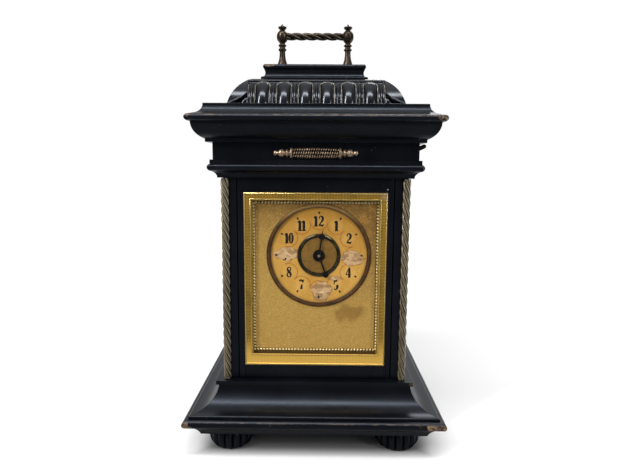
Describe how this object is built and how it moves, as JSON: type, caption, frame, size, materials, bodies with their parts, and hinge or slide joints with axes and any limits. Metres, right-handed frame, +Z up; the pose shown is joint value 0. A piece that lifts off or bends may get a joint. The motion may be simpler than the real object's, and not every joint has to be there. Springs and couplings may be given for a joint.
{
  "type": "bracket clock",
  "caption": "Ebonised bracket clock with moulded base and cornice, gadrooned dome, twisted brass columns and bail handle, glazed door and round paper dial.",
  "frame": {"origin": "on the floor, under the middle of the base moulding", "axes": "+Z up, the dial faces -Y, +X is the right seen from the front"},
  "size_m": [0.214, 0.199, 0.3682],
  "materials": {
    "ebonised_wood": "ebonised, satin, edges worn brown",
    "aged_brass": "aged olive brown",
    "handle_brass": "dull handled brass",
    "clear_glass": "clear thin pane",
    "pressed_brass": "pressed beads and ribs",
    "grained_brass": "fine grained, stained",
    "inner_wood": "plain softwood",
    "dial_paper": "aged paper, printed numbers",
    "bezel_brown": "dark brown lacquer",
    "blued_steel": "blued",
    "disc_brass": "turned, stained",
    "steel": "plain steel",
    "bell_metal": "turned bell metal",
    "movement_brass": "plain brass"
  },
  "bodies": {
    "case": {"alarm_bell": "bell_metal", "base_board": "ebonised_wood", "base_moulding_back": "ebonised_wood", "base_moulding_front": "ebonised_wood", "base_moulding_left": "ebonised_wood", "base_moulding_right": "ebonised_wood", "cap_block": "ebonised_wood", "column_left": "aged_brass", "column_right": "aged_brass", "cornice_back": "ebonised_wood", "cornice_front": "ebonised_wood", "cornice_left": "ebonised_wood", "cornice_right": "ebonised_wood", "dial_bezel": "bezel_brown", "dial_board": "inner_wood", "dial_plate": "dial_paper", "entablature_back": "ebonised_wood", "entablature_front": "ebonised_wood", "entablature_left": "ebonised_wood", "entablature_right": "ebonised_wood", "escapement_platform": "movement_brass", "foot_back_left": "ebonised_wood", "foot_back_right": "ebonised_wood", "foot_front_left": "ebonised_wood", "foot_front_right": "ebonised_wood", "frieze_ornament": "aged_brass", "front_pivot_lower": "steel", "front_pivot_upper": "steel", "gadrooned_dome": "ebonised_wood", "handle_bar": "handle_brass", "handle_post_left": "handle_brass", "handle_post_right": "handle_brass", "mask_plate": "grained_brass", "movement_back_plate": "movement_brass", "movement_front_plate": "movement_brass", "movement_pillar_left": "movement_brass", "movement_pillar_right": "movement_brass", "movement_pillar_top": "movement_brass", "side_panel_left": "ebonised_wood", "side_panel_right": "ebonised_wood", "top_board": "ebonised_wood"},
    "front_door": {"door_stile_left": "ebonised_wood", "door_stile_right": "ebonised_wood", "door_rail_bottom": "ebonised_wood", "door_rail_top": "ebonised_wood", "door_glass": "clear_glass", "door_sash": "pressed_brass"},
    "back_door": {"back_door": "ebonised_wood"},
    "centre": {"centre_arbor": "movement_brass", "minute_hand": "blued_steel", "setting_knob": "movement_brass"},
    "hour": {"hour_wheel": "movement_brass", "hour_hand": "blued_steel"},
    "motion_wheel": {"minute_wheel": "movement_brass"},
    "barrel": {"mainspring_barrel": "movement_brass"},
    "winding": {"winding_key": "steel"},
    "alarm_setting": {"alarm_disc": "disc_brass"},
    "balance": {"balance_wheel": "movement_brass"},
    "hammer": {"alarm_hammer": "steel"},
    "stop_lever": {"alarm_stop_lever": "steel"}
  },
  "joints": [
    {"name": "front_door_swing", "type": "hinge", "parent": "case", "child": "front_door", "pos_m": [0.0626, -0.0672, 0.14525], "axis": [0, 0, 1], "range_deg": [0, 105]},
    {"name": "back_door_swing", "type": "hinge", "parent": "case", "child": "back_door", "pos_m": [-0.0626, 0.0672, 0.14525], "axis": [0, 0, 1], "range_deg": [0, 105]},
    {"name": "minute_turn", "type": "hinge", "parent": "case", "child": "centre", "pos_m": [0.003, -0.06, 0.1658], "axis": [0, 1, 0], "continuous": true},
    {"name": "hour_turn", "type": "hinge", "parent": "case", "child": "hour", "pos_m": [0.003, -0.06, 0.1658], "axis": [0, 1, 0], "continuous": true},
    {"name": "motion_wheel_turn", "type": "hinge", "parent": "case", "child": "motion_wheel", "pos_m": [0.01066, -0.057, 0.17223], "axis": [0, 1, 0], "continuous": true},
    {"name": "barrel_turn", "type": "hinge", "parent": "case", "child": "barrel", "pos_m": [0.003, -0.042, 0.1406], "axis": [0, 1, 0], "continuous": true},
    {"name": "winding_key_turn", "type": "hinge", "parent": "case", "child": "winding", "pos_m": [0.003, -0.015, 0.1406], "axis": [0, 1, 0], "continuous": true},
    {"name": "alarm_set_turn", "type": "hinge", "parent": "case", "child": "alarm_setting", "pos_m": [0.003, -0.0628, 0.1658], "axis": [0, 1, 0], "continuous": true},
    {"name": "balance_swing", "type": "hinge", "parent": "case", "child": "balance", "pos_m": [0.003, -0.016, 0.1988], "axis": [0, 1, 0], "range_deg": [-150, 150], "stiffness_Nm_per_rad": 0.000008},
    {"name": "hammer_swing", "type": "hinge", "parent": "case", "child": "hammer", "pos_m": [-0.028, -0.022, 0.2018], "axis": [0, 1, 0], "range_deg": [-8, 4], "stiffness_Nm_per_rad": 0.1},
    {"name": "stop_lever_tilt", "type": "hinge", "parent": "case", "child": "stop_lever", "pos_m": [0.072, -0.04, 0.248], "axis": [0, 1, 0], "range_deg": [0, 25]}
  ],
  "couplings": [
    {"joint": "hour_turn", "follows": "minute_turn", "ratio": 0.083333},
    {"joint": "motion_wheel_turn", "follows": "minute_turn", "ratio": -0.33333},
    {"joint": "barrel_turn", "follows": "minute_turn", "ratio": -0.16667}
  ]
}
